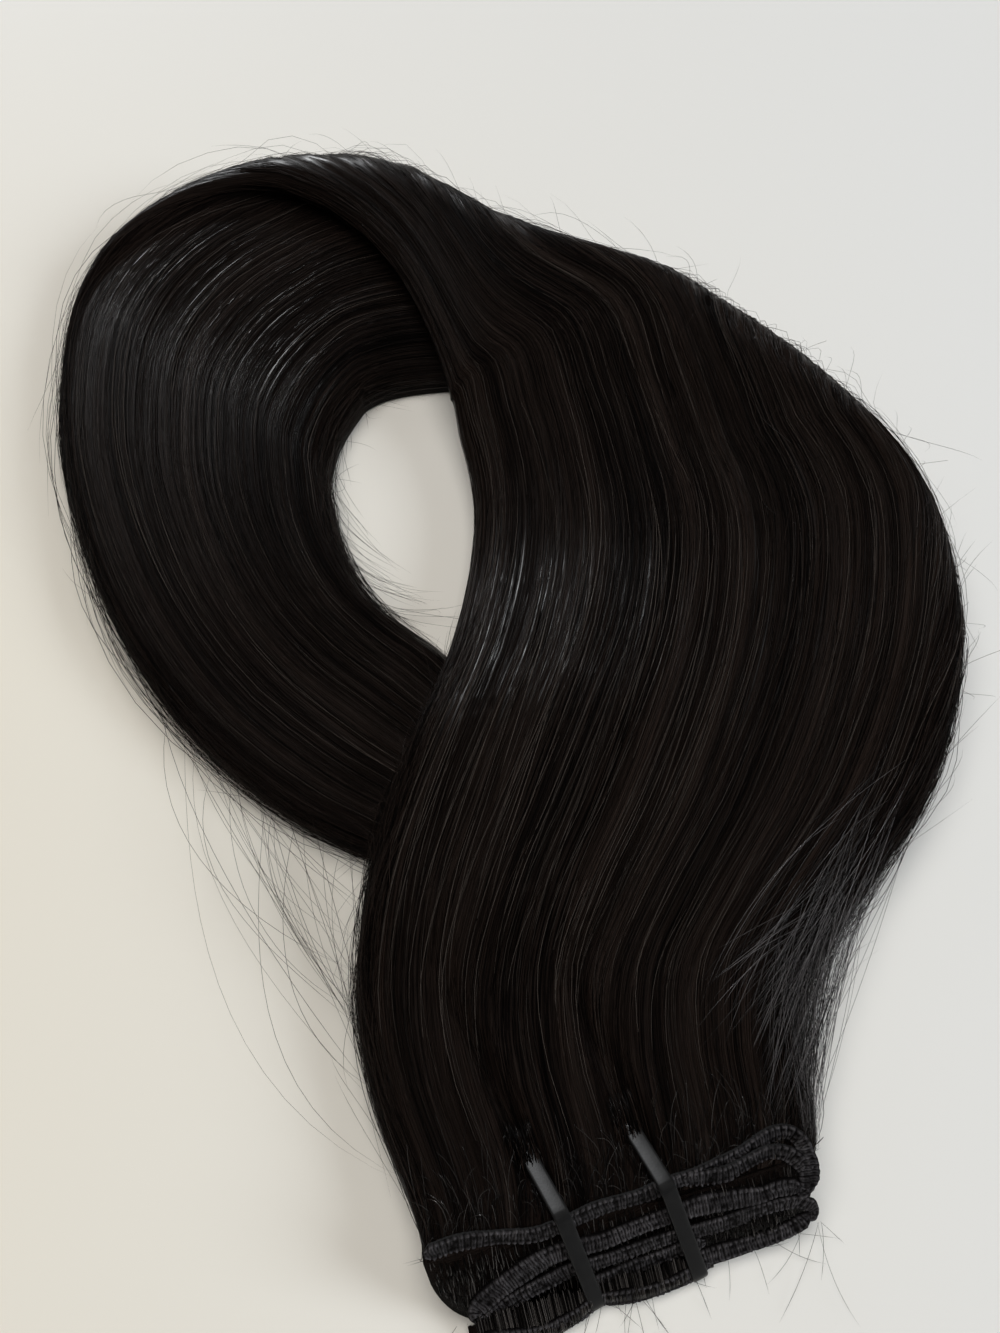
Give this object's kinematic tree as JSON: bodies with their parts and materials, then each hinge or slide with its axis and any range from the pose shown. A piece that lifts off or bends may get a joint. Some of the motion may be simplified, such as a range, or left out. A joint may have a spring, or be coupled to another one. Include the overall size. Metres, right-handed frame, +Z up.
{
  "type": "hair weft extension bundle",
  "caption": "Bundle of long straight dark hair sewn to a folded weft, rolled under in a loop and bound with flat straps.",
  "frame": {"origin": "middle of the bundle's footprint, on the surface it lies on", "axes": "+Z up, +Y from the sewn weft towards the far roll, +X to the right seen from above with the weft nearest"},
  "size_m": [0.2662, 0.3568, 0.0316],
  "materials": {
    "hair": "combed, glossy, near-black brown human hair",
    "thread": "dense charcoal sewing thread",
    "strap": "moulded black nylon, satin"
  },
  "bodies": {
    "root": {"hair": "hair", "weft_track": "thread", "tie_left": "strap", "tie_right": "strap"}
  },
  "joints": []
}
